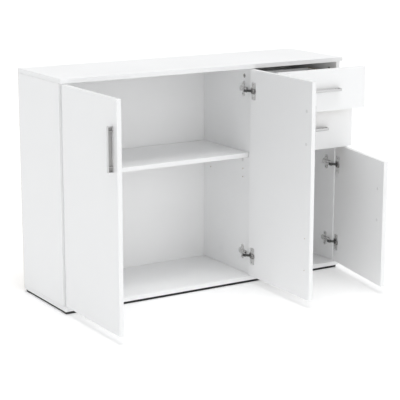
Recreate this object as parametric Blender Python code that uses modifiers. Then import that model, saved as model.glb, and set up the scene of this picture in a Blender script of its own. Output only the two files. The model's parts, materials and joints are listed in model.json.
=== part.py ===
"""A white sideboard: two tall doors, a short door under two drawers, and an adjustable shelf.

It stands with every door open and both drawers partly out. Metres, +Z up, +Y to the back. The origin
is on the floor, under the centre of the box that the object fills in this state.
"""

import math

import bmesh
import bpy
from mathutils import Matrix, Vector

MM = 0.001

# Cabinet
WIDTH = 1.176
DEPTH = 0.346
HEIGHT = 0.820
BOARD = 0.016
HARDBOARD = 0.003
FOOT_HEIGHT = 0.010
FIT = 0.0003  # gap between pieces that touch
EDGE_ROUND = 0.0005
SETBACK = 0.018  # side panels' front edges, behind those of the top and bottom panels
DIVIDER_X = 0.774  # left face of the centre divider
SHELF_Z = 0.4728  # underside of the adjustable shelf
SHELF_SETBACK = 0.010
FIXED_SHELF_Z = 0.482  # underside of the board under the drawers
PIN_FRONT_Y = 0.068
PIN_BACK_Y = 0.292
PIN_RADIUS = 0.0025
PIN_DROP = 0.0172  # pin's centre line, below the shelf

# Doors and drawer fronts
SIDE_GAP = 0.0015
END_GAP = 0.0025
FRONT_GAP = 0.003  # between two fronts, one above the other
DOOR_BOTTOM = FOOT_HEIGHT + BOARD + END_GAP
DOOR_TOP = HEIGHT - BOARD - END_GAP
DRAWER_FRONT_HEIGHT = 0.1533
SHORT_DOOR_TOP = DOOR_TOP - 2 * (DRAWER_FRONT_HEIGHT + FRONT_GAP)
RIGHT_FRONT_X = DIVIDER_X + BOARD / 2 + SIDE_GAP  # left edge of the drawer fronts
TALL_DOOR_WIDTH = RIGHT_FRONT_X / 2 - 2 * SIDE_GAP
FRONT_WIDTH = WIDTH - SIDE_GAP - RIGHT_FRONT_X

# Door pivots: inward from the hinged edge, and behind the outer face
PIVOT_IN = 0.004
PIVOT_BACK = 0.001
LEFT_OPEN = 90
CENTRE_OPEN = 89
RIGHT_OPEN = 79

# Concealed hinges. Their frame has x inward from the door's hinged edge and y back from its outer face
HINGE_END = 0.078  # from the door's end
CUP_CENTRE = 0.0225
CUP_RADIUS = 0.0172
CUP_DEPTH = 0.0115
CUP_WALL = 0.0012
RIM_RADIUS = 0.018
RIM_THICKNESS = 0.0008
FLANGE_HALF_HEIGHT = 0.0315
FLANGE_HALF_WIDTH = 0.011
ARM_PIVOT = (0.0324, 0.0108)
ARM_HALF_WIDTH = 0.0064
ARM_BACK_Y = 0.071
FORK_HALF_WIDTH = 0.0049
PLATE_Y = 0.064  # the mounting plate's screw line
PLATE_TAIL = (0.0795, 0.0095)  # the round tail's centre, from the front, and its radius
PLATE_SCREW_SPACING = 0.032
LINK_LENGTH = 0.0222
LINK_CLOSED = 185  # degrees, from x towards y
LINK_RATIO = 0.444
LINK_HALF_WIDTH = 0.0045
LINK_HALF_THICKNESS = 0.0009

# Drawers
UPPER_OUT = 0.141
LOWER_OUT = 0.068
SLIDE_SPACE = 0.0125  # beside the drawer box, for the runners
BOX_SIDE = 0.012
BOX_HEIGHT = 0.100
BOX_LENGTH = 0.300
BOX_RISE = 0.016  # drawer box's underside above the front's lower edge
GROOVE_RISE = 0.008
GROOVE_DEPTH = 0.005
RAIL_LENGTH = 0.300
RAIL_WALL = 0.0012
RAIL_RISE = 0.034  # rails' centre line above the drawer box's underside

# Handles, in a frame with x along the handle, z towards its closed side and -y away from the front
HANDLE_LENGTH = 0.148
HANDLE_HALF_HEIGHT = 0.00525
HANDLE_RISE = 0.0195
HANDLE_WALL = 0.0022
HANDLE_SCREW_SPACING = 0.115
HANDLE_EDGE = 0.0305  # centre line, from a tall door's free edge
SHORT_DOOR_HANDLE_EDGE = 0.0425
HANDLE_TOP = 0.162  # handle's centre, below the door's top edge

# The box that the object fills at rest, which the origin is centred under
LEFT_REACH = HANDLE_RISE + FIT - (SIDE_GAP + PIVOT_IN - PIVOT_BACK)
FRONT_REACH = TALL_DOOR_WIDTH - PIVOT_IN - PIVOT_BACK
CORNER = Vector(((LEFT_REACH - WIDTH) / 2, (FRONT_REACH - DEPTH) / 2, 0))

# Colour, roughness, metallic
FINISHES = {
    "white_board": ((0.83, 0.83, 0.82), 0.45, 0.0),
    "white_hardboard": ((0.78, 0.78, 0.76), 0.6, 0.0),
    "drawer_board": ((0.80, 0.80, 0.78), 0.55, 0.0),
    "hinge_steel": ((0.62, 0.62, 0.61), 0.3, 1.0),
    "white_plastic": ((0.80, 0.80, 0.79), 0.4, 0.0),
    "rail_steel": ((0.55, 0.56, 0.57), 0.35, 1.0),
    "brushed_nickel": ((0.55, 0.53, 0.50), 0.35, 1.0),
    "black_plastic": ((0.02, 0.02, 0.02), 0.55, 0.0),
}


def new_collection(name):
    collection = bpy.data.collections.new(name)
    bpy.context.scene.collection.children.link(collection)
    return collection


def new_material(name, finish):
    """The sub-part's own material, in one of the finishes."""
    colour, roughness, metallic = FINISHES[finish]
    material = bpy.data.materials.new(name + "_" + finish)
    material.use_nodes = True
    shader = material.node_tree.nodes["Principled BSDF"]
    shader.inputs["Base Color"].default_value = (*colour, 1)
    shader.inputs["Roughness"].default_value = roughness
    shader.inputs["Metallic"].default_value = metallic
    return material


def place(name, mesh, finish, body, location=(0, 0, 0), rotation=(0, 0, 0)):
    """A sub-part: the mesh as an object of its own, on the body's empty."""
    mesh = mesh.copy()
    mesh.name = name
    mesh.materials.clear()
    mesh.materials.append(new_material(name, finish))
    part = bpy.data.objects.new(name, mesh)
    part.parent = body
    part.location = location
    part.rotation_euler = rotation
    parts.objects.link(part)
    return part


def new_body(name, location, angle=0.0, parent=None):
    """An empty on a joint's axis, turned about +Z."""
    empty = bpy.data.objects.new(name, None)
    empty.empty_display_size = 0.05
    empty.location = location
    empty.rotation_euler = (0, 0, angle)
    empty.parent = parent
    parts.objects.link(empty)
    return empty


def mesh_of(form, name="shape"):
    bmesh.ops.recalc_face_normals(form, faces=form.faces)
    mesh = bpy.data.meshes.new(name)
    form.to_mesh(mesh)
    form.free()
    return mesh


def box(low, high):
    """A box between two corners."""
    low = Vector(low)
    size = Vector(high) - low
    form = bmesh.new()
    bmesh.ops.create_cube(form, size=1)
    bmesh.ops.scale(form, vec=size, verts=form.verts)
    bmesh.ops.translate(form, vec=low + size / 2, verts=form.verts)
    return mesh_of(form)


def cylinder(radius, start, end, segments=24):
    """A round bar between the centres of its two ends."""
    start = Vector(start)
    along = Vector(end) - start
    form = bmesh.new()
    bmesh.ops.create_cone(
        form, cap_ends=True, segments=segments, radius1=radius, radius2=radius, depth=along.length
    )
    turn = Vector((0, 0, 1)).rotation_difference(along).to_matrix().to_4x4()
    bmesh.ops.transform(form, matrix=Matrix.Translation(start + along / 2) @ turn, verts=form.verts)
    return mesh_of(form)


def prism(outline, half_length, turn=None):
    """A flat outline in the XY plane, made half_length thick each way along Z, then turned."""
    curve = bpy.data.curves.new("outline", "CURVE")
    curve.dimensions = "2D"
    curve.fill_mode = "BOTH"
    curve.extrude = half_length
    spline = curve.splines.new("POLY")
    spline.points.add(len(outline) - 1)
    for point, (x, y) in zip(spline.points, outline):
        point.co = (x, y, 0, 1)
    spline.use_cyclic_u = True
    shape = bpy.data.objects.new("outline", curve)
    cutters.objects.link(shape)
    loose = bpy.data.meshes.new_from_object(shape.evaluated_get(bpy.context.evaluated_depsgraph_get()))
    bpy.data.objects.remove(shape)
    form = bmesh.new()
    form.from_mesh(loose)
    bmesh.ops.remove_doubles(form, verts=form.verts, dist=1e-6)
    mesh = mesh_of(form)
    if turn:
        mesh.transform(turn)
    return mesh


def carved(mesh, *steps):
    """The mesh after a row of Boolean steps, each an operation and the mesh that it uses."""
    target = bpy.data.objects.new("target", mesh)
    cutters.objects.link(target)
    helpers = [target]
    for operation, tool in steps:
        helper = bpy.data.objects.new("cutter", tool)
        helper.hide_render = True
        helper.display_type = "WIRE"
        cutters.objects.link(helper)
        helpers.append(helper)
        modifier = target.modifiers.new(operation.lower(), "BOOLEAN")
        modifier.operation = operation
        modifier.object = helper
    graph = bpy.context.evaluated_depsgraph_get()
    result = bpy.data.meshes.new_from_object(target.evaluated_get(graph))
    for helper in helpers:
        bpy.data.objects.remove(helper)
    return result


def arc(centre, radii, start, end, count):
    """Points on an ellipse's arc, between two angles in degrees."""
    angles = (math.radians(start + (end - start) * step / count) for step in range(count + 1))
    return [(centre[0] + radii[0] * math.cos(a), centre[1] + radii[1] * math.sin(a)) for a in angles]


def board(name, low, high, body, finish="white_board", holes=()):
    """A panel with slightly rounded edges, its origin at its centre, and any holes cut into it."""
    centre = (Vector(low) + Vector(high)) / 2
    part = place(name, box(Vector(low) - centre, Vector(high) - centre), finish, body, centre)
    bevel = part.modifiers.new("edges", "BEVEL")
    bevel.width = EDGE_ROUND
    bevel.segments = 1
    for hole in holes:
        cutter = bpy.data.objects.new(name + "_cutter", hole)
        cutter.parent = body
        cutter.hide_render = True
        cutter.display_type = "WIRE"
        cutters.objects.link(cutter)
        cut = part.modifiers.new("hole", "BOOLEAN")
        cut.operation = "DIFFERENCE"
        cut.object = cutter
    return part


def pin_holes(face_x, inward):
    """Blind holes for the shelf pins in a panel's face."""
    z = SHELF_Z - PIN_DROP
    return [
        cylinder(PIN_RADIUS + FIT, (face_x - inward * 10.3 * MM, y, z), (face_x + inward * MM, y, z), 12)
        for y in (PIN_FRONT_Y, PIN_BACK_Y)
    ]


def build_carcass(cabinet):
    rear = DEPTH - HARDBOARD - FIT
    low_z = FOOT_HEIGHT + BOARD + FIT
    high_z = HEIGHT - BOARD - FIT
    board("bottom_panel", (0, 0, FOOT_HEIGHT), (WIDTH, rear, FOOT_HEIGHT + BOARD), cabinet)
    board("top_panel", (0, 0, HEIGHT - BOARD), (WIDTH, rear, HEIGHT), cabinet)
    board(
        "left_side_panel", (0, SETBACK, low_z), (BOARD, rear, high_z), cabinet, holes=pin_holes(BOARD, 1)
    )
    board("right_side_panel", (WIDTH - BOARD, SETBACK, low_z), (WIDTH, rear, high_z), cabinet)
    board(
        "centre_divider",
        (DIVIDER_X, SETBACK, low_z),
        (DIVIDER_X + BOARD, rear, high_z),
        cabinet,
        holes=pin_holes(DIVIDER_X, -1),
    )
    board(
        "back_panel",
        (MM, DEPTH - HARDBOARD, FOOT_HEIGHT + MM),
        (WIDTH - MM, DEPTH, HEIGHT - MM),
        cabinet,
        "white_hardboard",
    )
    board(
        "fixed_shelf",
        (DIVIDER_X + BOARD + FIT, SETBACK, FIXED_SHELF_Z),
        (WIDTH - BOARD - FIT, rear, FIXED_SHELF_Z + BOARD),
        cabinet,
    )
    board(
        "adjustable_shelf",
        (BOARD + MM, SETBACK + SHELF_SETBACK, SHELF_Z),
        (DIVIDER_X - MM, rear - 3 * MM, SHELF_Z + BOARD),
        cabinet,
    )


def build_shelf_pins(cabinet):
    """Four shelf supports: a pin in the panel, a plate on its face, and a tab under the shelf."""
    top = PIN_DROP - FIT
    wall = 1.5 * MM
    for side, face_x, inward in (("left", BOARD, 1), ("right", DIVIDER_X, -1)):
        pin = cylinder(PIN_RADIUS, (-8 * inward * MM, 0, 0), (inward * MM, 0, 0), 12)
        near, far = sorted((inward * FIT, inward * (FIT + wall)))
        plate = box((near, -5 * MM, -5 * MM), (far, 5 * MM, top))
        near, far = sorted((inward * FIT, inward * 11 * MM))
        tab = box((near, -5 * MM, top - wall), (far, 5 * MM, top))
        shape = carved(pin, ("UNION", plate), ("UNION", tab))
        for end, y in (("front", PIN_FRONT_Y), ("back", PIN_BACK_Y)):
            name = "shelf_pin_" + side + "_" + end
            place(name, shape, "white_plastic", cabinet, (face_x, y, SHELF_Z - PIN_DROP))


def build_feet(cabinet):
    """Black glides under the corners, a little inside the edges."""
    half = Vector((20 * MM, 14 * MM, (FOOT_HEIGHT - FIT) / 2))
    for side, x in (("left", half.x + 3 * MM), ("right", WIDTH - half.x - 3 * MM)):
        for end, y in (("front", half.y + 6 * MM), ("back", DEPTH - half.y - 10 * MM)):
            foot = place("foot_" + side + "_" + end, box(-half, half), "black_plastic", cabinet, (x, y, half.z))
            bevel = foot.modifiers.new("edges", "BEVEL")
            bevel.width = 2 * MM
            bevel.segments = 2


def handle_shape():
    """A narrow cup pull with closed ends, open along one side, and two screw posts inside."""
    lip = -HANDLE_HALF_HEIGHT
    crown = lip + 5.5 * MM
    outer_radii = (HANDLE_HALF_HEIGHT - crown, HANDLE_RISE)
    inner_radii = (outer_radii[0] - HANDLE_WALL, HANDLE_RISE - HANDLE_WALL)
    outer = [(lip, 0), *arc((crown, 0), outer_radii, 0, 90, 8), (lip, HANDLE_RISE)]
    inner = [
        (lip - MM, -MM),
        (crown + inner_radii[0], -MM),
        *arc((crown, 0), inner_radii, 0, 90, 8),
        (lip - MM, inner_radii[1]),
    ]
    # The outline's x becomes +Z, its y becomes -Y, and its thickness lies along X.
    turn = Matrix(((0, 0, 1, 0), (0, -1, 0, 0), (1, 0, 0, 0), (0, 0, 0, 1)))
    shell = prism(outer, HANDLE_LENGTH / 2, turn)
    steps = [("DIFFERENCE", prism(inner, HANDLE_LENGTH / 2 - HANDLE_WALL, turn))]
    for x in (-HANDLE_SCREW_SPACING / 2, HANDLE_SCREW_SPACING / 2):
        steps.append(("UNION", cylinder(3.5 * MM, (x, 0, 0), (x, MM - HANDLE_RISE, 0), 12)))
    return carved(shell, *steps)


def cup_shape():
    """A hinge cup, open at the door's inner face, with a flange. +Y points out of the door."""
    top = FIT + RIM_THICKNESS
    body = cylinder(CUP_RADIUS, (0, -CUP_DEPTH, 0), (0, top - 0.2 * MM, 0))
    rim = cylinder(RIM_RADIUS, (0, FIT, 0), (0, top, 0))
    corner = 4 * MM
    reach = (FLANGE_HALF_WIDTH - corner, FLANGE_HALF_HEIGHT - corner)
    outline = []
    for quarter, (x, y) in enumerate(((1, 1), (-1, 1), (-1, -1), (1, -1))):
        centre = (x * reach[0], y * reach[1])
        outline += arc(centre, (corner, corner), 90 * quarter, 90 * quarter + 90, 3)
    flange = prism(outline, RIM_THICKNESS / 2, Matrix.Rotation(math.pi / 2, 4, "X"))
    flange.transform(Matrix.Translation((0, FIT + RIM_THICKNESS / 2, 0)))
    hollow = cylinder(CUP_RADIUS - CUP_WALL, (0, 0.8 * MM - CUP_DEPTH, 0), (0, 5 * MM, 0))
    return carved(body, ("UNION", rim), ("UNION", flange), ("DIFFERENCE", hollow))


def link_shape(side):
    """A bowed link from the arm's pivot, at the origin, along +X into the cup."""
    bow = Vector((0.91 * LINK_LENGTH, side * 4.8 * MM))
    end = Vector((LINK_LENGTH, 0))
    near, far = [], []
    count = 8
    for step in range(count + 1):
        t = step / count
        point = 2 * t * (1 - t) * bow + t * t * end
        along = ((1 - t) * bow + t * (end - bow)).normalized() if step else bow.normalized()
        across = Vector((-along.y, along.x)) * LINK_HALF_THICKNESS
        near.append(tuple(point + across))
        far.append(tuple(point - across))
    strip = prism(near + far[::-1], LINK_HALF_WIDTH)
    ends = ((0, 0, -LINK_HALF_WIDTH), (0, 0, LINK_HALF_WIDTH))
    eye = cylinder(2.4 * MM, *ends, 16)
    hole = cylinder(1.5 * MM, (0, 0, -6 * MM), (0, 0, 6 * MM), 12)
    return carved(eye, ("UNION", strip), ("DIFFERENCE", hole))


def arm_shape(side, base):
    """A hinge arm with a forked nose, on its cross-shaped mounting plate, in the hinge's frame."""
    x, y = ARM_PIVOT
    roof = x + 4 * MM
    outline = [
        (x - 3 * MM, y - 1.2 * MM),
        (x - 1.8 * MM, y - 3 * MM),
        (x + 2 * MM, y - 3 * MM),
        (roof, y - 0.8 * MM),
        (roof, y + 9.2 * MM),
        (roof - 2 * MM, y + 14 * MM),
        (base + 11 * MM, y + 29 * MM),
        (base + 9 * MM, ARM_BACK_Y),
        (base, ARM_BACK_Y),
        (base, y + 28 * MM),
        (base + 4 * MM, y + 24 * MM),
        (x - 5.5 * MM, y + 14 * MM),
        (x - 3.8 * MM, y + 9 * MM),
    ]
    arm = prism([(side * px, py) for px, py in outline], ARM_HALF_WIDTH)
    slot_x = sorted((side * (x - 15 * MM), side * (x + 2.8 * MM)))
    slot = box(
        (slot_x[0], y - 10 * MM, -FORK_HALF_WIDTH), (slot_x[1], y + 11 * MM, FORK_HALF_WIDTH)
    )
    pin = cylinder(1.1 * MM, (side * x, y, -6.2 * MM), (side * x, y, 6.2 * MM), 12)
    steps = [("DIFFERENCE", slot), ("UNION", pin)]
    plate = (side * base, side * (base + 2.2 * MM))
    wing_end = 20 * MM
    wing = box((min(plate), PLATE_Y - 7 * MM, -wing_end), (max(plate), PLATE_Y + 7 * MM, wing_end))
    steps.append(("UNION", wing))
    tail_y, tail_radius = PLATE_TAIL
    tail = cylinder(tail_radius, (plate[0], tail_y, 0), (plate[1], tail_y, 0), 24)
    steps.append(("UNION", tail))
    head = side * (base + 3.6 * MM)
    for z in (-1, 1):
        tip = (PLATE_Y, z * wing_end)
        screw = (PLATE_Y, z * PLATE_SCREW_SPACING / 2)
        steps.append(("UNION", cylinder(6.9 * MM, (plate[0], *tip), (plate[1], *tip), 20)))
        steps.append(("UNION", cylinder(3.6 * MM, (plate[0] + side * MM, *screw), (head, *screw), 12)))
    return carved(arm, *steps)


def build_door(cabinet, name, side, edge_x, width, top, opened, panel_face):
    """A door with its handle, hinge cups, arms and links. side is 1 for hinges on its left, or -1."""
    pivot = (edge_x + side * PIVOT_IN, PIVOT_BACK, 0)
    turn = -side * math.radians(opened)
    door = new_body("door_" + name, pivot, turn, cabinet)
    heights = {"lower": DOOR_BOTTOM + HINGE_END, "upper": top - HINGE_END}
    inner_y = BOARD - PIVOT_BACK
    cup_x = side * (CUP_CENTRE - PIVOT_IN)
    holes = [
        cylinder(CUP_RADIUS + 0.4 * MM, (cup_x, inner_y - CUP_DEPTH - 0.5 * MM, z), (cup_x, inner_y + MM, z))
        for z in heights.values()
    ]
    across = sorted((-side * PIVOT_IN, side * (width - PIVOT_IN)))
    board(
        "door_" + name + "_panel",
        (across[0], -PIVOT_BACK, DOOR_BOTTOM),
        (across[1], inner_y, top),
        door,
        holes=holes,
    )
    handle_edge = HANDLE_EDGE if top == DOOR_TOP else SHORT_DOOR_HANDLE_EDGE
    handle_at = (side * (width - PIVOT_IN - handle_edge), -PIVOT_BACK - FIT, top - HANDLE_TOP)
    upright = (0, -side * math.pi / 2, 0)
    place("door_" + name + "_handle", shapes["handle"], "brushed_nickel", door, handle_at, upright)

    arm = arm_shape(side, panel_face + FIT)
    link = link_shape(side)
    link_angle = math.radians(LINK_CLOSED + LINK_RATIO * opened)
    if side < 0:
        link_angle = math.pi - link_angle
    link_at = (edge_x + side * ARM_PIVOT[0], ARM_PIVOT[1], 0)
    links = new_body("links_" + name, link_at, link_angle, cabinet)
    for level, z in heights.items():
        hinge = "hinge_" + name + "_" + level
        place(hinge + "_cup", shapes["cup"], "hinge_steel", door, (cup_x, inner_y, z))
        place(hinge + "_arm", arm, "hinge_steel", cabinet, (edge_x, 0, z))
        place(hinge + "_link", link, "hinge_steel", links, (0, 0, z))


def rail_shape(outline):
    """A rail of one section all along, its section's x along X and its y along Z."""
    return prism(outline, RAIL_LENGTH / 2, Matrix.Rotation(math.pi / 2, 4, "X"))


def rail_outlines(inward):
    """The cabinet's C-shaped rail, from the panel's face, and the drawer's T-shaped one."""
    half = 16 * MM
    lip = 5.9 * MM
    wall = RAIL_WALL
    fixed = [
        (FIT, -half),
        (lip, -half),
        (lip, -half + wall),
        (FIT + wall, -half + wall),
        (FIT + wall, half - wall),
        (lip, half - wall),
        (lip, half),
        (FIT, half),
    ]
    outer = SLIDE_SPACE - FIT
    rib = 6.5 * MM
    moving = [
        (outer, -11 * MM),
        (outer, 11 * MM),
        (outer - wall, 11 * MM),
        (outer - wall, wall),
        (rib, wall),
        (rib, -wall),
        (outer - wall, -wall),
        (outer - wall, -11 * MM),
    ]
    return [[(inward * x, z) for x, z in outline] for outline in (fixed, moving)]


def build_drawer(cabinet, name, front_z, out):
    """A drawer front, its box in grooved boards, its handle and its runners."""
    drawer = new_body(name + "_drawer", (0, -out, 0), parent=cabinet)
    prefix = name + "_drawer_"
    left = RIGHT_FRONT_X
    right = WIDTH - SIDE_GAP
    board(prefix + "front", (left, 0, front_z), (right, BOARD, front_z + DRAWER_FRONT_HEIGHT), drawer)
    handle_at = ((left + right) / 2, -FIT, front_z + DRAWER_FRONT_HEIGHT / 2)
    open_side_up = (0, math.pi, 0)
    place(prefix + "handle", shapes["handle"], "brushed_nickel", drawer, handle_at, open_side_up)

    low = front_z + BOX_RISE
    high = low + BOX_HEIGHT
    front_y = BOARD + FIT
    back_y = front_y + BOX_LENGTH
    groove_z = low + GROOVE_RISE
    bottom_z = groove_z + FIT
    walls = {
        "left": (DIVIDER_X + BOARD + SLIDE_SPACE, 1),
        "right": (WIDTH - BOARD - SLIDE_SPACE, -1),
    }
    inner = []
    for side, (outer_x, inward) in walls.items():
        inner_x = outer_x + inward * BOX_SIDE
        inner.append(inner_x)
        across = sorted((outer_x, inner_x))
        groove_x = sorted((inner_x - inward * GROOVE_DEPTH, inner_x + inward * MM))
        groove = box(
            (groove_x[0], front_y - MM, groove_z),
            (groove_x[1], back_y + MM, groove_z + HARDBOARD + 2 * FIT),
        )
        board(
            prefix + side + "_side",
            (across[0], front_y, low),
            (across[1], back_y, high),
            drawer,
            "drawer_board",
            [groove],
        )
        rail_z = low + RAIL_RISE
        panel_x = outer_x - inward * SLIDE_SPACE
        fixed, moving = rail_outlines(inward)
        middle = SETBACK + 2 * MM + RAIL_LENGTH / 2
        place(name + "_rail_" + side, rail_shape(fixed), "rail_steel", cabinet, (panel_x, middle, rail_z))
        middle = front_y + FIT + RAIL_LENGTH / 2
        place(prefix + side + "_rail", rail_shape(moving), "rail_steel", drawer, (panel_x, middle, rail_z))
    board(
        prefix + "back",
        (inner[0] + FIT, back_y - BOX_SIDE, bottom_z + HARDBOARD + FIT),
        (inner[1] - FIT, back_y, high),
        drawer,
        "drawer_board",
    )
    reach = GROOVE_DEPTH - 2 * FIT
    bottom = box(
        (inner[0] - reach, front_y, bottom_z), (inner[1] + reach, back_y - FIT, bottom_z + HARDBOARD)
    )
    place(prefix + "bottom", bottom, "white_hardboard", drawer)


for leftover in list(bpy.data.objects):
    bpy.data.objects.remove(leftover)
parts = new_collection("sideboard")
cutters = new_collection("cutters")
cutters.hide_render = True
shapes = {"handle": handle_shape(), "cup": cup_shape()}

carcass = new_body("carcass", CORNER)
build_carcass(carcass)
build_shelf_pins(carcass)
build_feet(carcass)
half_board = BOARD / 2
side_face = BOARD - SIDE_GAP
centre_edge = DIVIDER_X + half_board - SIDE_GAP
build_door(carcass, "left", 1, SIDE_GAP, TALL_DOOR_WIDTH, DOOR_TOP, LEFT_OPEN, side_face)
build_door(
    carcass, "centre", -1, centre_edge, TALL_DOOR_WIDTH, DOOR_TOP, CENTRE_OPEN, half_board - SIDE_GAP
)
build_door(
    carcass, "right", -1, WIDTH - SIDE_GAP, FRONT_WIDTH, SHORT_DOOR_TOP, RIGHT_OPEN, side_face
)
upper_z = DOOR_TOP - DRAWER_FRONT_HEIGHT
build_drawer(carcass, "upper", upper_z, UPPER_OUT)
build_drawer(carcass, "lower", upper_z - FRONT_GAP - DRAWER_FRONT_HEIGHT, LOWER_OUT)
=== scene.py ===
"""A white sideboard in a bright studio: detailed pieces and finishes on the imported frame.

The frame's joints say how far each door and drawer stands open, so a piece is made as if it were
closed, at the place where the frame has it, and then moved to the state at rest.
"""

import json
import math

import bmesh
import bpy
from mathutils import Matrix, Vector


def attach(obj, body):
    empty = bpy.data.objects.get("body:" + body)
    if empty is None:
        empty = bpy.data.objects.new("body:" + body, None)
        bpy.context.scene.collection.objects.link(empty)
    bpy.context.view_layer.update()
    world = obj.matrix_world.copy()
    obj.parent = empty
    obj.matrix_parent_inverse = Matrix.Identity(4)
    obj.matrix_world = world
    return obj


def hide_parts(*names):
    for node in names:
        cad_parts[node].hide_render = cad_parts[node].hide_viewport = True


MM = 0.001
X, Y, Z = Vector((1, 0, 0)), Vector((0, 1, 0)), Vector((0, 0, 1))
CREASE = math.radians(40)
NOISE_LOW, NOISE_HIGH = 0.3, 0.7

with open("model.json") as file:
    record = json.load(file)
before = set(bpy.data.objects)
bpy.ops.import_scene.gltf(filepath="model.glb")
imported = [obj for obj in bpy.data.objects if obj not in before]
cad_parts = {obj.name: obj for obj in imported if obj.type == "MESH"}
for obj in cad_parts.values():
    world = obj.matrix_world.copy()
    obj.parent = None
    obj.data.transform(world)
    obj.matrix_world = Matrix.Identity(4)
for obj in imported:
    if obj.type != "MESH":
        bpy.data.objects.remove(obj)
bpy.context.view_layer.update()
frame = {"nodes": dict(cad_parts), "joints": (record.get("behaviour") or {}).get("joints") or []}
nodes = frame["nodes"]
joints = {joint["name"]: joint for joint in frame["joints"]}


# Finishes


def finish(
    name, colours, roughness, grain, depth, metallic=0.0, cloud=5.0, cells=False, fleck=0.3, **sockets
):
    """A material with fine grain in its bump, colour and gloss, and faint clouds over larger areas.

    colours and roughness are the two ends of their ranges, grain is the grain's frequency per metre
    along X, Y and Z, depth is the bump's in metres, cloud is the clouds' frequency per metre, cells
    makes the grain of chips, fleck is the grain's share of the colour, and sockets are further
    values of the shader.
    """
    material = bpy.data.materials.new(name)
    material.use_nodes = True
    tree = material.node_tree
    shader = tree.nodes["Principled BSDF"]
    shader.inputs["Metallic"].default_value = metallic
    for socket, value in sockets.items():
        shader.inputs[socket.replace("_", " ")].default_value = value

    def node(kind, **settings):
        made = tree.nodes.new("ShaderNode" + kind)
        for key, value in settings.items():
            if hasattr(made, key):
                setattr(made, key, value)
            else:
                made.inputs[key].default_value = value
        return made

    place = node("TexCoord").outputs["Object"]
    stretch = node("Mapping", Scale=grain)
    tree.links.new(place, stretch.inputs["Vector"])
    if cells:
        fine = node("TexVoronoi", Scale=1.0, Randomness=1.0)
        grain_out = fine.outputs["Color"]
    else:
        fine = node("TexNoise", Scale=1.0, Detail=5.0, Roughness=0.6)
        grain_out = fine.outputs["Fac"]
    tree.links.new(stretch.outputs["Vector"], fine.inputs["Vector"])
    clouds = node("TexNoise", Scale=cloud, Detail=3.0, Roughness=0.5)
    tree.links.new(place, clouds.inputs["Vector"])

    blend = node("Mix", data_type="FLOAT")
    blend.inputs["Factor"].default_value = fleck
    tree.links.new(clouds.outputs["Fac"], blend.inputs["A"])
    tree.links.new(grain_out, blend.inputs["B"])
    ramp = node("ValToRGB")
    ramp.color_ramp.elements[0].position = NOISE_LOW
    ramp.color_ramp.elements[0].color = (*colours[0], 1)
    ramp.color_ramp.elements[1].position = NOISE_HIGH
    ramp.color_ramp.elements[1].color = (*colours[1], 1)
    tree.links.new(blend.outputs["Result"], ramp.inputs["Fac"])
    tree.links.new(ramp.outputs["Color"], shader.inputs["Base Color"])

    gloss = node("MapRange")
    gloss.inputs["From Min"].default_value = NOISE_LOW
    gloss.inputs["From Max"].default_value = NOISE_HIGH
    gloss.inputs["To Min"].default_value = roughness[0]
    gloss.inputs["To Max"].default_value = roughness[1]
    tree.links.new(blend.outputs["Result"], gloss.inputs["Value"])
    tree.links.new(gloss.outputs["Result"], shader.inputs["Roughness"])

    bump = node("Bump", Strength=1.0, Distance=depth)
    tree.links.new(grain_out, bump.inputs["Height"])
    tree.links.new(bump.outputs["Normal"], shader.inputs["Normal"])
    return material


def grey(value, blue=1.0):
    """A neutral colour, a touch cooler where blue is above 1."""
    return (value, value * (1 + blue) / 2, value * blue)


MELAMINE = finish(
    "melamine", (grey(0.915, 1.006), grey(0.935, 1.006)), (0.40, 0.50), (900, 900, 900), 0.02 * MM, cloud=3.0
)
BAND = finish(
    "edge_band", (grey(0.89, 1.006), grey(0.91, 1.006)), (0.30, 0.38), (500, 500, 500), 0.012 * MM, cloud=9.0
)
FOIL = finish(
    "drawer_foil", (grey(0.82, 1.0), grey(0.85, 1.0)), (0.48, 0.58), (260, 30, 900), 0.03 * MM, cloud=6.0
)
HARDBOARD = finish(
    "lacquered_hardboard", (grey(0.90, 1.0), grey(0.92, 1.0)), (0.50, 0.62), (700, 700, 700), 0.03 * MM
)
HARDBOARD_BACK = finish(
    "hardboard_fibres",
    ((0.42, 0.33, 0.24), (0.56, 0.46, 0.35)),
    (0.75, 0.9),
    (420, 420, 140),
    0.12 * MM,
    fleck=0.75,
)
CHIPBOARD = finish(
    "chipboard",
    ((0.46, 0.37, 0.27), (0.78, 0.68, 0.53)),
    (0.8, 0.95),
    (520, 520, 520),
    0.25 * MM,
    cells=True,
    fleck=0.8,
)
NICKEL_ALONG_X = finish(
    "brushed_nickel_along_x",
    ((0.54, 0.54, 0.542), (0.64, 0.64, 0.642)),
    (0.26, 0.38),
    (25, 2600, 2600),
    0.012 * MM,
    metallic=1.0,
    cloud=14.0,
    fleck=0.6,
    Anisotropic=0.4,
)
# A darker copy of the nickel: on the handles' inner faces and posts it is painted shade in the hollow, and
# on the cam discs it is their grey.
NICKEL_INSIDE = finish(
    "darker_nickel_and_painted_shade",
    ((0.36, 0.355, 0.35), (0.46, 0.455, 0.45)),
    (0.5, 0.65),
    (60, 900, 900),
    0.02 * MM,
    metallic=0.5,
    fleck=0.6,
)
# Painted shade for the hinge's hollow: near-black steel on the faces inside the arm, on its link and on its
# spring.
HINGE_HOLLOW_SHADE = finish(
    "hinge_hollow_painted_shade",
    ((0.06, 0.06, 0.06), (0.11, 0.11, 0.11)),
    (0.35, 0.5),
    (300, 300, 300),
    0.02 * MM,
    metallic=0.7,
    cloud=60.0,
)
HINGE_NICKEL = finish(
    "nickel_plate",
    ((0.60, 0.595, 0.59), (0.72, 0.715, 0.71)),
    (0.18, 0.30),
    (300, 300, 300),
    0.015 * MM,
    metallic=1.0,
    cloud=60.0,
)
ZINC = finish(
    "zinc_plate",
    ((0.46, 0.47, 0.49), (0.62, 0.63, 0.65)),
    (0.32, 0.48),
    (160, 160, 160),
    0.02 * MM,
    metallic=1.0,
    cloud=35.0,
    fleck=0.5,
)
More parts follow.
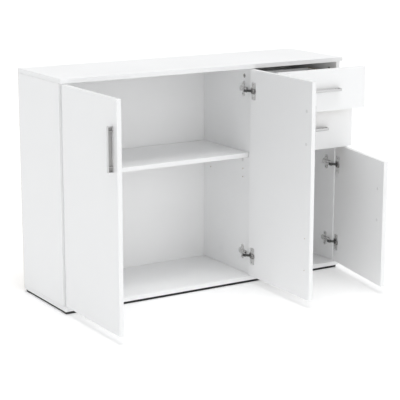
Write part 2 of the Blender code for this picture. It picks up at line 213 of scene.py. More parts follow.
# Painted shade: near-black faces in the cross recesses of screw heads and cams.
RECESS_SHADE = finish(
    "recess_shadow",
    ((0.05, 0.05, 0.05), (0.10, 0.10, 0.10)),
    (0.5, 0.7),
    (900, 900, 900),
    0.02 * MM,
    metallic=0.6,
)
WHITE_PLASTIC = finish(
    "white_moulded_plastic", (grey(0.76, 1.0), grey(0.80, 1.0)), (0.35, 0.45), (1500, 1500, 1500), 0.01 * MM
)
BLACK_PLASTIC = finish(
    "black_moulded_plastic",
    (grey(0.012), grey(0.022)),
    (0.45, 0.6),
    (1300, 1300, 1300),
    0.04 * MM,
    cloud=40.0,
)


# Where things are


def opened(name):
    """The move from closed to the state at rest, for a joint's body."""
    joint = joints[name]
    if joint["type"] == "slide":
        return Matrix.Translation(Vector(joint["axis"]) * -joint["range_m"][0])
    pivot = Matrix.Translation(joint["pos_m"])
    turn = Matrix.Rotation(math.radians(-joint["range_deg"][0]), 4, Vector(joint["axis"]))
    return pivot @ turn @ pivot.inverted()


def span(node, move=Matrix()):
    """Lowest and highest corner of a CAD node, moved back to where it is closed."""
    back = move.inverted()
    points = [back @ vertex.co for vertex in nodes[node].data.vertices]
    return Vector(map(min, zip(*points))), Vector(map(max, zip(*points)))


# Shapes


def mesh_of(form):
    """The form as a mesh with its faces looking outward; the form is used up."""
    bmesh.ops.recalc_face_normals(form, faces=form.faces)
    mesh = bpy.data.meshes.new("shape")
    form.to_mesh(mesh)
    form.free()
    return mesh


def block(low, high, rounding=0.7 * MM, segments=3):
    """A block between two corners, with rounded edges."""
    low, high = Vector(low), Vector(high)
    form = bmesh.new()
    bmesh.ops.create_cube(form, size=1)
    bmesh.ops.scale(form, vec=high - low, verts=form.verts)
    bmesh.ops.translate(form, vec=(low + high) / 2, verts=form.verts)
    if rounding:
        bmesh.ops.bevel(
            form, geom=form.edges[:], offset=rounding, segments=segments, profile=0.5, affect="EDGES"
        )
    return mesh_of(form)


def slab(outline, low, high, rounding=0.0):
    """An outline in the XY plane made solid between two heights, its sharp edges rounded."""
    form = bmesh.new()
    face = form.faces.new([form.verts.new((x, y, low)) for x, y in outline])
    grown = bmesh.ops.extrude_face_region(form, geom=[face])["geom"]
    raised = [part for part in grown if isinstance(part, bmesh.types.BMVert)]
    bmesh.ops.translate(form, vec=(0, 0, high - low), verts=raised)
    if rounding:
        bmesh.ops.recalc_face_normals(form, faces=form.faces)
        sharp = [edge for edge in form.edges if edge.calc_face_angle(0) > CREASE]
        bmesh.ops.bevel(form, geom=sharp, offset=rounding, segments=2, profile=0.5, affect="EDGES")
    return mesh_of(form)


def aimed(place, axis):
    """The move that takes the origin to a place and the Z axis to an axis."""
    return Matrix.Translation(place) @ Z.rotation_difference(Vector(axis)).to_matrix().to_4x4()


def turned(profile, centre=(0, 0, 0), axis=Z, segments=40):
    """A solid of revolution from (radius, height) points, its heights along the axis."""
    form = bmesh.new()
    rings = []
    on_axis = 1e-7
    for radius, height in profile:
        if radius < on_axis:
            rings.append([form.verts.new((0, 0, height))])
            continue
        angles = [2 * math.pi * i / segments for i in range(segments)]
        rings.append([form.verts.new((radius * math.cos(a), radius * math.sin(a), height)) for a in angles])
    for near, far in zip(rings, rings[1:]):
        for i in range(segments):
            j = (i + 1) % segments
            corners = (near[i % len(near)], near[j % len(near)], far[j % len(far)], far[i % len(far)])
            corners = list(dict.fromkeys(corners))
            if len(corners) > 2:
                form.faces.new(corners)
    mesh = mesh_of(form)
    mesh.transform(aimed(centre, axis))
    return mesh


def rod(radius, start, end, chamfer=0.0, segments=32):
    """A round bar between two points, its rims chamfered where chamfer isn't 0."""
    start, end = Vector(start), Vector(end)
    length = (end - start).length
    profile = [(0, 0), (radius - chamfer, 0), (radius, chamfer), (radius, length - chamfer)]
    profile += [(radius - chamfer, length), (0, length)]
    if not chamfer:
        profile = [(0, 0), (radius, 0), (radius, length), (0, length)]
    return turned(profile, start, end - start, segments)


def arc(centre, radii, start, end, count, power=2.0):
    """Points on an ellipse's arc between two angles in degrees, squarer where power is above 2."""
    points = []
    for step in range(count + 1):
        angle = math.radians(start + (end - start) * step / count)
        cos, sin = math.cos(angle), math.sin(angle)
        x = math.copysign(abs(cos) ** (2 / power), cos)
        y = math.copysign(abs(sin) ** (2 / power), sin)
        points.append((centre[0] + radii[0] * x, centre[1] + radii[1] * y))
    return points


def rounded(half_x, half_y, corner, centre=(0, 0), count=6):
    """A rectangle's outline with rounded corners."""
    outline = []
    for quarter, (x, y) in enumerate(((1, 1), (-1, 1), (-1, -1), (1, -1))):
        middle = (centre[0] + x * (half_x - corner), centre[1] + y * (half_y - corner))
        outline += arc(middle, (corner, corner), 90 * quarter, 90 * quarter + 90, count)
    return outline


def eased(points, times=2):
    """A line of points with its corners cut, its two ends kept."""
    for _ in range(times):
        cut = [points[0]]
        for (ax, ay), (bx, by) in zip(points, points[1:]):
            cut.append((0.75 * ax + 0.25 * bx, 0.75 * ay + 0.25 * by))
            cut.append((0.25 * ax + 0.75 * bx, 0.25 * ay + 0.75 * by))
        points = [*cut, points[-1]]
    return points


def on_side(mesh, across, x=0.0, z=0.0):
    """Takes a mesh's X, Y and Z to Y, Z and X, with X mirrored where across is -1, then moves it."""
    mesh.transform(Matrix(((0, 0, across, x), (1, 0, 0, 0), (0, 1, 0, z), (0, 0, 0, 1))))


def painted(mesh, *finishes):
    """The mesh with these materials, all its faces in the first."""
    for material in finishes:
        mesh.materials.append(material)
    return mesh


def combined(mesh, tools, operation="DIFFERENCE"):
    """The mesh after Boolean steps with the tools, whose faces keep their own materials."""
    target = bpy.data.objects.new("target", mesh)
    bpy.context.scene.collection.objects.link(target)
    helpers = [target]
    for tool in tools:
        helper = bpy.data.objects.new("tool", tool)
        bpy.context.scene.collection.objects.link(helper)
        helpers.append(helper)
        step = target.modifiers.new("step", "BOOLEAN")
        step.operation = operation
        step.object = helper
        step.material_mode = "TRANSFER"
    graph = bpy.context.evaluated_depsgraph_get()
    result = bpy.data.meshes.new_from_object(target.evaluated_get(graph))
    for helper in helpers:
        bpy.data.objects.remove(helper)
    return result


def together(meshes):
    """Several meshes as one, each with its own materials."""
    form = bmesh.new()
    materials = []
    for mesh in meshes:
        first = len(form.faces)
        form.from_mesh(mesh)
        form.faces.ensure_lookup_table()
        for face in form.faces[first:]:
            material = mesh.materials[face.material_index]
            if material not in materials:
                materials.append(material)
            face.material_index = materials.index(material)
    mesh = bpy.data.meshes.new("group")
    form.to_mesh(mesh)
    form.free()
    return painted(mesh, *materials)


def soften(made, width):
    """Rounds an object's sharp edges."""
    edges = made.modifiers.new("rounding", "BEVEL")
    edges.width = width
    edges.segments = 2
    edges.limit_method = "ANGLE"
    edges.angle_limit = CREASE
    edges.harden_normals = True


def piece(name, mesh, body, move=Matrix(), replaces=(), rounding=0.0):
    """A shown piece that rides a body, with smooth roundings between flat faces."""
    mesh.name = name
    made = bpy.data.objects.new(name, mesh)
    bpy.context.scene.collection.objects.link(made)
    mesh.shade_smooth()
    if rounding:
        soften(made, rounding)
    else:
        mesh.set_sharp_from_angle(angle=CREASE)
        normals = made.modifiers.new("normals", "WEIGHTED_NORMAL")
        normals.keep_sharp = True
    made.matrix_world = move
    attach(made, body)
    if replaces:
        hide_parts(*replaces)


def finished(node, material, rounding):
    """A CAD node that stays, with a finish and rounded edges."""
    kept = nodes[node]
    kept.data.materials.clear()
    kept.data.materials.append(material)
    soften(kept, rounding)


def board(name, node, body, move=Matrix(), holes=(), face=MELAMINE, edge=BAND):
    """A faced board with edge bands in place of a CAD panel, drilled where holes say."""
    low, high = span(node, move)
    thin = min(range(3), key=lambda axis: high[axis] - low[axis])
    mesh = painted(block(low, high), face, edge)
    for polygon in mesh.polygons:
        polygon.material_index = 0 if abs(polygon.normal[thin]) > 0.99 else 1
    if holes:
        mesh = combined(mesh, holes)
    piece(name, mesh, body, move, [node])


def sheet(low, high, outward):
    """A hardboard sheet, lacquered on the face that looks outward."""
    mesh = painted(block(low, high, 0.3 * MM, 2), HARDBOARD, HARDBOARD_BACK)
    for polygon in mesh.polygons:
        polygon.material_index = 0 if polygon.normal.dot(outward) > 0.5 else 1
    return mesh


def drilled(radius, mouth, inward, depth):
    """A cutter for a blind hole, which leaves chipboard inside."""
    mouth, inward = Vector(mouth), Vector(inward)
    return painted(rod(radius, mouth - inward * MM, mouth + inward * depth, segments=28), CHIPBOARD)


def crossed(mesh, long, thin, low, high):
    """The mesh with a cross recess, whose arms have these half lengths and reach from low to high; the
    recess is painted near black as shade.
    """
    arms = [
        painted(block((-a, -b, low), (a, b, high), 0), RECESS_SHADE)
        for a, b in ((long, thin), (thin, long))
    ]
    return combined(mesh, arms)


def screw(radius, height, foot, axis, material=HINGE_NICKEL):
    """A raised screw head with a cross recess."""
    dome = [(0, -0.5 * MM), (radius, -0.5 * MM), (radius, 0.25 * height), (radius * 0.86, 0.72 * height)]
    dome += [(radius * 0.55, 0.95 * height), (0, height)]
    head = painted(turned(dome, segments=28), material)
    head = crossed(head, radius * 0.62, radius * 0.15, height * 0.15, height * 2)
    head.transform(aimed(foot, axis))
    return head


def screw_row(radius, height, low, high, shares, x, z, axis):
    """Zinc screw heads in a row along Y, at these shares of the way from low to high."""
    places = [(x, low.y + share * (high.y - low.y), z) for share in shares]
    return together([screw(radius, height, place, axis, ZINC) for place in places])


# Cabinet

SIDE_LOW, SIDE_HIGH = span("left_side_panel")
DIVIDER_LOW, DIVIDER_HIGH = span("centre_divider")
RIGHT_LOW, RIGHT_HIGH = span("right_side_panel")
# From a panel's front or back edge and from its top to a cam's centre
CAM_IN = 44 * MM
CAM_END = 33 * MM
# A shelf support's pin above the support's lower end, how far it goes in, and the row of holes below it
PIN_RISE = 5 * MM
PIN_DEPTH = 8 * MM
PIN_STEP = 32 * MM
PIN_HOLE = 2.55 * MM
PIN_HOLE_DEPTH = 10 * MM
NAIL_INSET = 8 * MM


def cam_places(low, high):
    """Centres of a panel's cam fittings as (y, z), near its upper corners."""
    return [(y, high.z - CAM_END) for y in (low.y + CAM_IN, high.y - CAM_IN)]


def cam_hole(x, y, z, side):
    """A cutter for a cam's hole, in a panel whose inner face looks along X times side."""
    return drilled(7.6 * MM, (x, y, z), X * -side, 12.5 * MM)


def cam(x, y, z, side):
    """A cam in its hole, with its cross recess in the panel's inner face."""
    profile = [(0, -11 * MM), (7.3 * MM, -11 * MM), (7.3 * MM, -0.9 * MM), (6.8 * MM, -0.4 * MM)]
    profile += [(5.2 * MM, -0.4 * MM), (4.9 * MM, -0.9 * MM), (0, -0.9 * MM)]
    disc = painted(turned(profile, segments=36), NICKEL_INSIDE)
    disc = crossed(disc, 3.2 * MM, 0.7 * MM, -4 * MM, MM)
    disc.transform(aimed((x, y, z), X * side))
    return disc


def build_cabinet():
    """The fixed boards and the shelf, the panels drilled for cams and shelf pins, and the nailed back."""
    board("top_board", "top_panel", "carcass")
    board("bottom_board", "bottom_panel", "carcass")
    board("fixed_shelf_board", "fixed_shelf", "carcass")
    board("adjustable_shelf_board", "adjustable_shelf", "carcass")

    pin_rows = {}
    for side in ("left", "right"):
        for end in ("front", "back"):
            low, high = span("shelf_pin_" + side + "_" + end)
            pin_rows[side, end] = ((low.y + high.y) / 2, low.z + PIN_RISE)
    cams = []
    for name, node, x, side, low, high in (
        ("left_side_board", "left_side_panel", SIDE_HIGH.x, 1, SIDE_LOW, SIDE_HIGH),
        ("centre_divider_board", "centre_divider", DIVIDER_LOW.x, -1, DIVIDER_LOW, DIVIDER_HIGH),
        ("right_side_board", "right_side_panel", RIGHT_LOW.x, -1, RIGHT_LOW, RIGHT_HIGH),
    ):
        holes = [cam_hole(x, y, z, side) for y, z in cam_places(low, high)]
        cams += [cam(x, y, z, side) for y, z in cam_places(low, high)]
        if node != "right_side_panel":
            row = "left" if side > 0 else "right"
            for end in ("front", "back"):
                y, z = pin_rows[row, end]
                for step in (0, 1, 2):
                    mouth = (x, y, z - step * PIN_STEP)
                    holes.append(drilled(PIN_HOLE, mouth, X * -side, PIN_HOLE_DEPTH))
        board(name, node, "carcass", holes=holes)
    piece("cam_fittings", together(cams), "carcass")

    low, high = span("back_panel")
    piece("back_hardboard", sheet(low, high, -Y), "carcass", replaces=["back_panel"])
    columns, rows = 10, 7
    width = high.x - low.x - 2 * NAIL_INSET
    height = high.z - low.z - 2 * NAIL_INSET
    across = [low.x + NAIL_INSET + width * i / (columns - 1) for i in range(columns)]
    rising = [low.z + NAIL_INSET + height * i / (rows - 1) for i in range(rows)]
    spots = [(x, z) for x in across for z in (rising[0], rising[-1])]
    middle = (DIVIDER_LOW.x + DIVIDER_HIGH.x) / 2
    spots += [(x, z) for z in rising[1:-1] for x in (across[0], middle, across[-1])]
    head = [(0, -0.4), (2.1, -0.4), (2.3, 0.1), (1.6, 0.45), (0, 0.6)]
    head = [(radius * MM, height * MM) for radius, height in head]
    nails = [painted(turned(head, (x, high.y, z), Y, 20), ZINC) for x, z in spots]
    piece("back_nails", together(nails), "carcass")


def build_shelf_supports():
    """Moulded supports: a pin in the panel, a plate, a tab under the shelf and a rib between."""
    for side, inward in (("left", 1), ("right", -1)):
        for end in ("front", "back"):
            node = "shelf_pin_" + side + "_" + end
            low, high = span(node)
            face_x = low.x + PIN_DEPTH if inward > 0 else high.x - PIN_DEPTH
            middle = Vector((face_x, (low.y + high.y) / 2, low.z + PIN_RISE))
            tall = high.z - low.z
            outline = arc((0, 5 * MM), (5 * MM, 5 * MM), 180, 360, 14) + [(5 * MM, tall), (-5 * MM, tall)]
            plate = slab(outline, 0.3 * MM, 1.8 * MM, 0.35 * MM)
            on_side(plate, inward, z=-PIN_RISE)
            across = sorted((inward * 0.3 * MM, inward * 11 * MM))
            top = tall - PIN_RISE
            tab = block((across[0], -5 * MM, top - 1.5 * MM), (across[1], 5 * MM, top), 0.4 * MM, 2)
            rib = slab(
                [(inward * MM, top - MM), (inward * 8.5 * MM, top - MM), (inward * MM, top - 9 * MM)],
                -0.7 * MM,
                0.7 * MM,
                0.2 * MM,
            )
            rib.transform(Matrix(((1, 0, 0, 0), (0, 0, 1, 0), (0, 1, 0, 0), (0, 0, 0, 1))))
            pin = rod(2.5 * MM, (-inward * PIN_DEPTH, 0, 0), (1.2 * inward * MM, 0, 0), 0.5 * MM, 24)
            dimple = turned(
                [(0, 0), (1.7 * MM, 0), (1.4 * MM, 0.35 * MM), (0, 0.35 * MM)],
                (inward * 1.7 * MM, 0, 0),
                X * inward,
                20,
            )
            mesh = together([painted(part, WHITE_PLASTIC) for part in (plate, tab, rib, pin, dimple)])
            name = "shelf_support_" + side + "_" + end
            piece(name, mesh, "carcass", Matrix.Translation(middle), [node])


def build_feet():
    """Tapered glides with a shoulder, each held by a nail."""
    for side in ("left", "right"):
        for end in ("front", "back"):
            node = "foot_" + side + "_" + end
            low, high = span(node)
            middle = (low + high) / 2
            half = (high - low) / 2
            form = bmesh.new()
            rings = []
            # Each ring's share of the height, and its size beside the foot's full outline
            levels = ((0, 0.90), (0.12, 0.95), (0.62, 0.99), (0.70, 1.0), (0.96, 1.0), (1.0, 0.985))
            for share, scale in levels:
                outline = rounded(half.x * scale, half.y * scale, 5 * MM * scale)
                height = low.z + (high.z - low.z) * share
                ring = [form.verts.new((middle.x + x, middle.y + y, height)) for x, y in outline]
                rings.append(ring)
            for near, far in zip(rings, rings[1:]):
                for i in range(len(near)):
                    j = (i + 1) % len(near)
                    form.faces.new((near[i], near[j], far[j], far[i]))
            form.faces.new(rings[0])
            form.faces.new(rings[-1])
            sole = Vector((middle.x, middle.y, low.z))
            seat = sole + Z * 3 * MM
            well = painted(rod(4.2 * MM, sole - Z * MM, seat), BLACK_PLASTIC)
            glide = combined(painted(mesh_of(form), BLACK_PLASTIC), [well])
            head = [(0, 0), (3.2 * MM, 0), (3.4 * MM, 0.4 * MM), (2.2 * MM, MM), (0, 1.2 * MM)]
            nail = painted(turned(head, seat, -Z, 24), ZINC)
            mesh = together([glide, nail])
            piece("glide_" + side + "_" + end, mesh, "carcass", replaces=[node])


# Handles

SCREW_SPACING = 115 * MM
HANDLE_WALL = 2 * MM
HANDLE_ROOF = 3 * MM
HANDLE_LIP = 5.5 * MM
HANDLE_SQUARENESS = 4.0


def handle_mesh(length, half, rise):
    """A cup pull with closed ends: long and brushed along X, open towards -Z, and rising along -Y."""
    crown = -half + HANDLE_LIP
    outer_radii = (half - crown, rise)
    inner_radii = (outer_radii[0] - HANDLE_WALL, rise - HANDLE_ROOF)
    outer = [(-half, 0), *arc((crown, 0), outer_radii, 0, 90, 24, HANDLE_SQUARENESS), (-half, rise)]
    inner = [
        (-half - MM, -MM),
        (crown + inner_radii[0], -MM),
        *arc((crown, 0), inner_radii, 0, 90, 24, HANDLE_SQUARENESS),
        (-half - MM, inner_radii[1]),
    ]
    turn = Matrix(((0, 0, 1, 0), (0, -1, 0, 0), (1, 0, 0, 0), (0, 0, 0, 1)))
    shell = painted(slab(outer, -length / 2, length / 2), NICKEL_ALONG_X)
    inside = length / 2 - HANDLE_WALL
    # The handle's inner faces take the darker nickel, as painted shade in the hollow.
    hollow = painted(slab(inner, -inside, inside), NICKEL_INSIDE)
    shell = combined(shell, [hollow])
    shell.transform(turn)
    return shell


def handle_post(x, rise):
    """A threaded boss inside the handle, from the front to just inside its roof."""
    top = rise - 1.4 * MM
    profile = [(0, 0), (3.3 * MM, 0), (3.3 * MM, rise - 3 * MM), (3.9 * MM, top), (0, top)]
    # The boss takes the darker nickel, as painted shade inside the handle.
    return painted(turned(profile, (x, 0, 0), -Y, 28), NICKEL_INSIDE)


def build_handle(name, node, body, move, turn):
    """A handle in place of its CAD node, and white caps over its screws on the front's inner face."""
    low, high = span(node, move)
    size = high - low
    length = max(size.x, size.z)
    half = min(size.x, size.z) / 2
    middle = Vector(((low.x + high.x) / 2, high.y, (low.z + high.z) / 2))
    place = move @ Matrix.Translation(middle) @ turn
    piece(name, handle_mesh(length, half, size.y), body, place, [node], 0.35 * MM)
    screws = (-SCREW_SPACING / 2, SCREW_SPACING / 2)
    posts = together([handle_post(x, size.y) for x in screws])
    piece(name + "_posts", posts, body, place)
    front = node.replace("_handle", "_panel" if "door" in node else "_front")
    inner = span(front, move)[1].y - high.y
    cap = [(0, -0.3), (5.4, -0.3), (5.4, 0.5), (4.9, 0.95), (0, 1.25)]
    cap = [(radius * MM, height * MM) for radius, height in cap]
    caps = [painted(turned(cap, (x, inner, 0), Y, 32), WHITE_PLASTIC) for x in screws]
    piece(name + "_screw_caps", together(caps), body, place)


# Hinges

# From the link's pivot back to the plate's wings, from there up or down to a lobe, the cup's flange
PLATE_Y = 53.2 * MM
LOBE_Z = 19.5 * MM
FLANGE = 0.8 * MM


def build_arm(name, side, base, back, place):
    """The sprung arm over its plate, and its pin, spring and screws."""
    # Outlines in millimetres from the link's pivot: x away from the panel, y towards the back
    foot = -base / MM
    end = back / MM - 18
    shell = 1.3
    roof = eased([(4, -0.8), (4, 9.2), (2, 14), (foot + 11, 29), (foot + 9, end - 6), (foot + 8.4, end)])
    under = [(foot + 1, end), (foot + 1, 28), (foot + 4, 24), (-5.5, 14), (-3.8, 9)]
    under += [(-3, -1.2), (-1.8, -3), (2, -3)]
    inner = [(foot - 2, -12), (2.7, -12), *[(x - shell, y) for x, y in roof]]
    inner += [(foot + 7, end + 2), (foot - 2, end + 2)]
    half_wide = 6.4 * MM
    half_inside = 5.1 * MM
    arm = slab([(side * x * MM, y * MM) for x, y in roof + under], -half_wide, half_wide)
    hollow = slab([(side * x * MM, y * MM) for x, y in inner], -half_inside, half_inside)
    fork_x = sorted((side * -4 * MM, side * 6 * MM))
    fork = block((fork_x[0], -6 * MM, -5 * MM), (fork_x[1], 13.5 * MM, 5 * MM), 0)
    notch = slab(rounded(4 * MM, 2.4 * MM, 2.3 * MM, (58 * MM, 0)), -30 * MM, 30 * MM)
    on_side(notch, 1)
    # The faces that these cuts leave inside the arm are painted near black, as shade.
    cuts = [painted(cut, HINGE_HOLLOW_SHADE) for cut in (hollow, fork, notch)]
    arm = combined(painted(arm, HINGE_NICKEL), cuts)
    piece(name + "_sprung_arm", arm, "carcass", place, [name + "_arm"], 0.3 * MM)

    pin = painted(rod(1.1 * MM, Z * -6.9 * MM, Z * 6.9 * MM, 0.3 * MM, 20), HINGE_NICKEL)
    coil = Vector((-side * MM, 8.5 * MM, 0))
    # The spring, deep inside the arm, is painted near black as shade.
    spring = painted(rod(1.5 * MM, coil - Z * 5.2 * MM, coil + Z * 5.2 * MM), HINGE_HOLLOW_SHADE)
    fittings = [pin, spring]
    for radius, height, y in ((3.5, 1.7, 43), (2.6, 1.3, 33)):
        roof_x = foot + 9 + 2 * (end - 6 - y) / (end - 35)
        fittings.append(screw(radius * MM, height * MM, (side * roof_x * MM, y * MM, 0), X * side))
    for z in (-LOBE_Z, LOBE_Z):
        head = (side * (foot + 2.9) * MM, PLATE_Y, z)
        fittings.append(screw(3.9 * MM, 1.5 * MM, head, X * side))
    piece(name + "_screws", together(fittings), "carcass", place)


def build_plate(name, side, base, back, place):
    """The cross-shaped plate on the panel, with a round lobe at each end."""
    wings = slab(rounded(6.6 * MM, 20 * MM, 3 * MM, (PLATE_Y, 0)), 0, 2.2 * MM, 0.4 * MM)
    spine = rounded((back - 33 * MM) / 2, 7.6 * MM, 3 * MM, ((back + 21 * MM) / 2, 0))
    spine = slab(spine, 0, 2.6 * MM, 0.4 * MM)
    lobes = []
    for radius, y, z in ((8.3, PLATE_Y, -LOBE_Z), (8.3, PLATE_Y, LOBE_Z), (9.4, back - 9.5 * MM, 0)):
        rim = [(0, 0), (radius, 0), (radius, 2.2), (radius - 0.5, 2.8), (radius - 1.6, 2.9), (0, 2.9)]
        lobes.append(turned([(r * MM, h * MM) for r, h in rim], (y, z, 0), Z, 40))
    plate = together([painted(shape, HINGE_NICKEL) for shape in (wings, spine, *lobes)])
    on_side(plate, side, x=-side * base)
    piece(name + "_plate", plate, "carcass", place)


def build_cup(name, body, side, move):
    """The cup in the door, a flange over it with an oval mouth, and two screws."""
    low, high = span(name + "_cup", move)
    centre = Vector(((low.x + high.x) / 2, high.y, (low.z + high.z) / 2))
    deep = low.y - high.y
    # Radii in millimetres: up the outside to the rim, and down the inside
    profile = [(0, deep), (15.4, deep), (17.2, deep + 1.6 * MM), (17.2, -0.9 * MM), (16.4, -0.9 * MM)]
    profile += [(15.7, deep + 2.6 * MM), (14.6, deep + MM), (0, deep + MM)]
    bowl = turned([(radius * MM, height) for radius, height in profile], segments=56)
    flange = slab(rounded(13 * MM, 31.5 * MM, 4.5 * MM, (side * 2 * MM, 0)), -FLANGE, 0)
    lip = painted(rod(18 * MM, Z * -FLANGE, (0, 0, 0), segments=56), HINGE_NICKEL)
    flange = combined(painted(flange, HINGE_NICKEL), [lip], "UNION")
    mouth = slab(rounded(16 * MM, 10.5 * MM, 8 * MM), -3 * MM, 3 * MM)
    flange = combined(flange, [painted(mouth, HINGE_NICKEL)])
    cup = together([painted(bowl, HINGE_NICKEL), flange])
    cup.transform(Matrix(((1, 0, 0, 0), (0, 0, 1, 0), (0, -1, 0, 0), (0, 0, 0, 1))))
    at_cup = move @ Matrix.Translation(centre)
    piece(name + "_bowl", cup, body, at_cup, [name + "_cup"])
    heads = [screw(3.6 * MM, 1.3 * MM, (0, 0, z), Y) for z in (-24 * MM, 24 * MM)]
    piece(name + "_cup_screws", together(heads), body, at_cup)


def build_hinge(door, level, side, move):
    """One concealed hinge: a sprung arm on its plate, a cup in the door, and the link between."""
    name = "hinge_" + door + "_" + level
    pivot = Vector(joints["links_" + door + "_turn"]["pos_m"])
    low, high = span(name + "_arm")
    pivot.z = (low.z + high.z) / 2
    base = pivot.x - low.x if side > 0 else high.x - pivot.x
    back = high.y - pivot.y
    place = Matrix.Translation(pivot)
    build_arm(name, side, base, back, place)
    build_plate(name, side, base, back, place)
    build_cup(name, "door_" + door, side, move)
    # The link is painted near black, as shade inside the hinge.
    finished(name + "_link", HINGE_HOLLOW_SHADE, 0.25 * MM)


# Doors

CUP_BORE = 17.6 * MM
CUP_BORE_DEPTH = 12 * MM
PILOT = 2.0 * MM
PILOT_DEPTH = 9 * MM


def build_door(door, side):
    """A door with its handle and hinges, hung on its left where side is 1 and on its right where -1."""
    body = "door_" + door
    move = opened(body + "_swing")
    low, high = span(body + "_panel", move)
    holes = []
    for level in ("upper", "lower"):
        cup_low, cup_high = span("hinge_" + door + "_" + level + "_cup", move)
        centre = (cup_low + cup_high) / 2
        mouth = (centre.x, high.y, centre.z)
        holes.append(drilled(CUP_BORE, mouth, -Y, CUP_BORE_DEPTH))
    handle_low, handle_high = span(body + "_handle", move)
    if door == "centre":
        # Pilot holes for a handle at the other end, where the same door is hung the other way up
        handle_x = (handle_low.x + handle_high.x) / 2
        middle_z = low.z + high.z - (handle_low.z + handle_high.z) / 2
        for z in (middle_z - SCREW_SPACING / 2, middle_z + SCREW_SPACING / 2):
            holes.append(drilled(PILOT, (handle_x, high.y, z), -Y, PILOT_DEPTH))
    board(body + "_board", body + "_panel", body, move=move, holes=holes)
    turn = Matrix.Rotation(-side * math.pi / 2, 4, "Y")
    build_handle(body + "_pull", body + "_handle", body, move, turn)
    for level in ("upper", "lower"):
        build_hinge(door, level, side, move)


# Drawers

RAIL_STEEL = 1.2 * MM
RAIL_ROUNDING = 0.2 * MM


def build_drawer(drawer):
    """A drawer with its handle, and its rails and their screws on both sides."""
    body = drawer + "_drawer"
    move = opened(body + "_slide")
    board(body + "_front_board", body + "_front", body, move=move)
    build_handle(body + "_pull", body + "_handle", body, move, Matrix.Rotation(math.pi, 4, "Y"))
    bottom_low, bottom_high = span(body + "_bottom", move)
    for side, inward in (("left", 1), ("right", -1)):
        node = body + "_" + side + "_side"
        low, high = span(node, move)
        face_x = high.x if inward > 0 else low.x
        groove_x = sorted((face_x - inward * 5 * MM, face_x + inward * MM))
        groove = block(
            (groove_x[0], low.y - MM, bottom_low.z - 0.3 * MM),
            (groove_x[1], high.y + MM, bottom_high.z + 0.3 * MM),
            0,
        )
        groove = painted(groove, CHIPBOARD)
        board(body + "_" + side + "_wall", node, body, move, [groove], FOIL, FOIL)
        finished(body + "_" + side + "_rail", ZINC, RAIL_ROUNDING)
        finished(drawer + "_rail_" + side, ZINC, RAIL_ROUNDING)
        low, high = span(body + "_" + side + "_rail", move)
        x = high.x - RAIL_STEEL if inward > 0 else low.x + RAIL_STEEL
        z = (low.z + high.z) / 2 + 6 * MM
        heads = screw_row(3 * MM, 1.1 * MM, low, high, (0.08, 0.5, 0.92), x, z, X * -inward)
        piece(body + "_" + side + "_rail_screws", heads, body, move)
        low, high = span(drawer + "_rail_" + side)
        x = low.x + RAIL_STEEL if inward > 0 else high.x - RAIL_STEEL
        z = (low.z + high.z) / 2
        heads = screw_row(3.4 * MM, 1.2 * MM, low, high, (0.12, 0.45, 0.88), x, z, X * inward)
        piece(drawer + "_cabinet_rail_" + side + "_screws", heads, "carcass")
    board(body + "_back_wall", body + "_back", body, move, (), FOIL, FOIL)
    base = sheet(bottom_low, bottom_high, Z)
    piece(body + "_base", base, body, move, [body + "_bottom"])


build_cabinet()
build_shelf_supports()
build_feet()
build_door("left", 1)
build_door("centre", -1)
build_door("right", -1)
build_drawer("upper")
build_drawer("lower")


# Studio


def build_floor():
    """A pale floor with a little light of its own, painted dark under the cabinet as a shadow."""
    half = 40
    shade_inset = 7 * MM
    form = bmesh.new()
    bmesh.ops.create_grid(form, x_segments=4, y_segments=4, size=half)
    low, high = span("bottom_panel")
    low = low + Vector((shade_inset, shade_inset, 0))
    high = high - Vector((shade_inset, shade_inset, 0))
    for point, across in ((low, X), (low, Y), (high, X), (high, Y)):
        everything = form.verts[:] + form.edges[:] + form.faces[:]
        bmesh.ops.bisect_plane(form, geom=everything, plane_co=(point.x, point.y, 0), plane_no=across)
    for face in form.faces:
        centre = face.calc_center_median()
        if low.x < centre.x < high.x and low.y < centre.y < high.y:
            face.material_index = 1
    floor = bpy.data.objects.new("studio_floor", mesh_of(form))
    bpy.context.scene.collection.objects.link(floor)
    paint = finish(
        "lit_floor",
        (grey(0.94), grey(0.955)),
        (0.8, 0.9),
        (40, 40, 40),
        0.02 * MM,
        cloud=0.4,
        Emission_Strength=0.13,
    )
    floor.data.materials.append(paint)
    shaded = finish(
        "shaded_floor", (grey(0.09), grey(0.10)), (0.8, 0.9), (40, 40, 40), 0.02 * MM, cloud=0.4
    )
    floor.data.materials.append(shaded)


def build_sun(name, source, strength, spread):
    """A soft light from the side where source points, spread over an angle in degrees."""
    sun = bpy.data.lights.new(name, "SUN")
    sun.energy = strength
    sun.angle = math.radians(spread)
    lamp = bpy.data.objects.new(name, sun)
    lamp.rotation_euler = (-Vector(source)).to_track_quat("-Z", "Y").to_euler()
    bpy.context.scene.collection.objects.link(lamp)


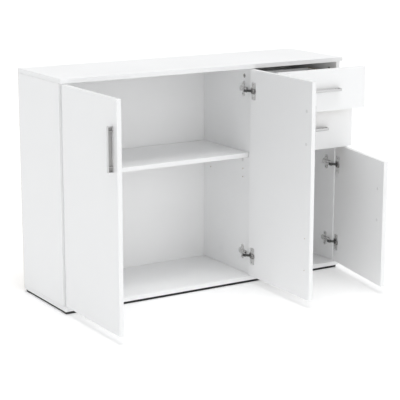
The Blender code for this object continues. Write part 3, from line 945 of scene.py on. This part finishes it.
def build_light():
    """Two broad lights and a room, which the camera sees white and metal sees in two greys."""
    ambient = (0.449, 0.454, 0.457, 1)
    backdrop = (1.03, 1.03, 1.03, 1)
    room_in_front = (0.82, 0.82, 0.825, 1)
    room_behind = (0.58, 0.58, 0.585, 1)
    build_sun("overhead_key", (-0.02, -0.08, 1), 1.87, 50)
    build_sun("front_fill", (-0.07, -0.97, 0.18), 0.63, 45)
    world = bpy.data.worlds.new("studio")
    bpy.context.scene.world = world
    world.use_nodes = True
    tree = world.node_tree
    sky = tree.nodes["Background"]
    path = tree.nodes.new("ShaderNodeLightPath")
    seen = tree.nodes.new("ShaderNodeMix")
    seen.data_type = "RGBA"
    seen.inputs["A"].default_value = ambient
    seen.inputs["B"].default_value = backdrop
    tree.links.new(path.outputs["Is Camera Ray"], seen.inputs["Factor"])
    # Reflections show a bright room in front of the cabinet and a darker one behind it
    where = tree.nodes.new("ShaderNodeTexCoord")
    split = tree.nodes.new("ShaderNodeSeparateXYZ")
    tree.links.new(where.outputs["Generated"], split.inputs["Vector"])
    room = tree.nodes.new("ShaderNodeValToRGB")
    room.color_ramp.elements[0].position = 0.0
    room.color_ramp.elements[0].color = room_in_front
    room.color_ramp.elements[1].position = 0.5
    room.color_ramp.elements[1].color = room_behind
    shift = tree.nodes.new("ShaderNodeMapRange")
    shift.inputs["From Min"].default_value = -1.0
    shift.inputs["From Max"].default_value = 1.0
    tree.links.new(split.outputs["Y"], shift.inputs["Value"])
    tree.links.new(shift.outputs["Result"], room.inputs["Fac"])
    mirrored = tree.nodes.new("ShaderNodeMix")
    mirrored.data_type = "RGBA"
    tree.links.new(path.outputs["Is Glossy Ray"], mirrored.inputs["Factor"])
    tree.links.new(seen.outputs["Result"], mirrored.inputs["A"])
    tree.links.new(room.outputs["Color"], mirrored.inputs["B"])
    tree.links.new(mirrored.outputs["Result"], sky.inputs["Color"])


def build_camera():
    """The photo's camera, solved from the cabinet's straight edges."""
    lens = bpy.data.cameras.new("camera")
    lens.sensor_width = 36
    lens.lens = 123.0
    lens.clip_end = 200
    camera = bpy.data.objects.new("camera", lens)
    camera.location = (-2.55775, -4.07223, 1.4387)
    camera.rotation_euler = (math.radians(77.159), 0, math.radians(-31.654))
    bpy.context.scene.collection.objects.link(camera)
    bpy.context.scene.camera = camera


build_floor()
build_light()
build_camera()
bpy.context.scene.view_settings.view_transform = "Standard"
